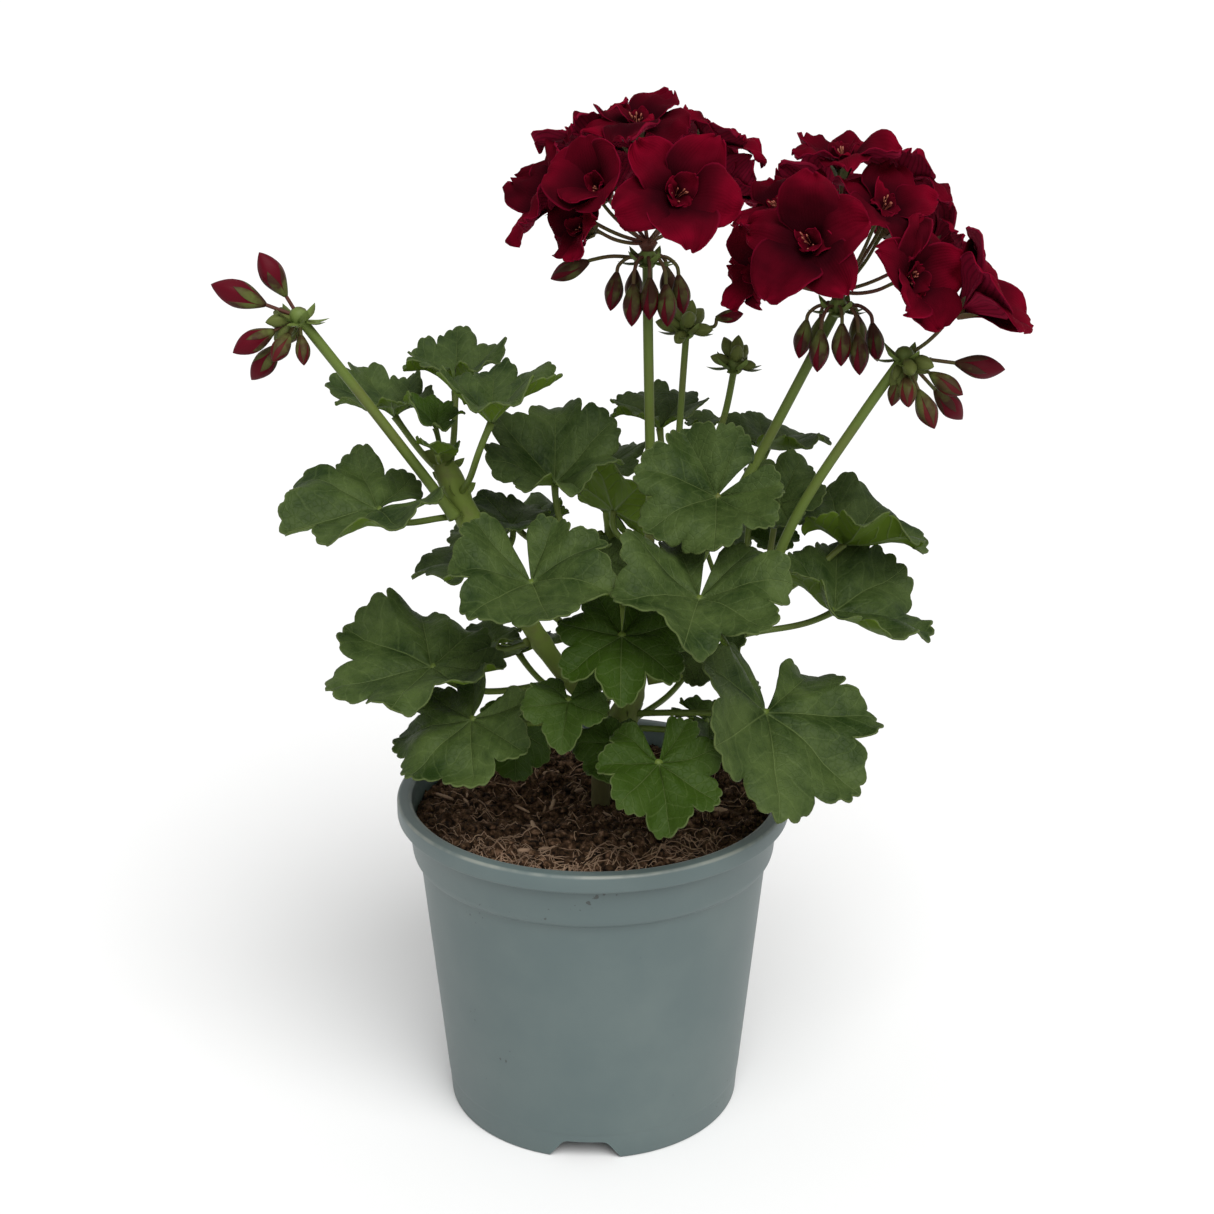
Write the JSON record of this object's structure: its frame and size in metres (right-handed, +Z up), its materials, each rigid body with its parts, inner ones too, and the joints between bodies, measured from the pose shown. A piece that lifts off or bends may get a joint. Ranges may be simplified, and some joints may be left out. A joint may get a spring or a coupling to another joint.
{
  "type": "potted geranium",
  "caption": "Zonal geranium in a round plastic nursery pot of soil: scalloped leaves on stalks, two full crimson flower heads, bud sprays and a single side flower.",
  "frame": {"origin": "centre of the whole object's box, at the ground, a little to the right of the pot's axis", "axes": "+Z up along the pot's axis, the longest extent; +X to the viewer's right and +Y away from the viewer who sees the side shown in the source picture"},
  "size_m": [0.2435, 0.1664, 0.3367],
  "materials": {
    "pot_plastic": "muted grey teal, matt, lightly scuffed",
    "peat_soil": "dark, damp and fibrous",
    "leaf_green": "soft matt green with paler veins",
    "stalk_green": "olive green, slightly downy",
    "petal_crimson": "velvety dark crimson"
  },
  "bodies": {
    "root": {"pot": "pot_plastic", "soil": "peat_soil", "main_stem": "leaf_green", "shoot_left": "leaf_green", "shoot_centre": "leaf_green", "shoot_right": "leaf_green", "shoot_back": "leaf_green", "head_left_stalk": "stalk_green", "head_right_stalk": "stalk_green", "head_left_florets": "petal_crimson", "head_right_florets": "petal_crimson", "spray_left": "stalk_green", "spray_right": "stalk_green", "single_flower": "petal_crimson", "young_buds_a": "stalk_green", "young_buds_b": "stalk_green"}
  },
  "joints": []
}
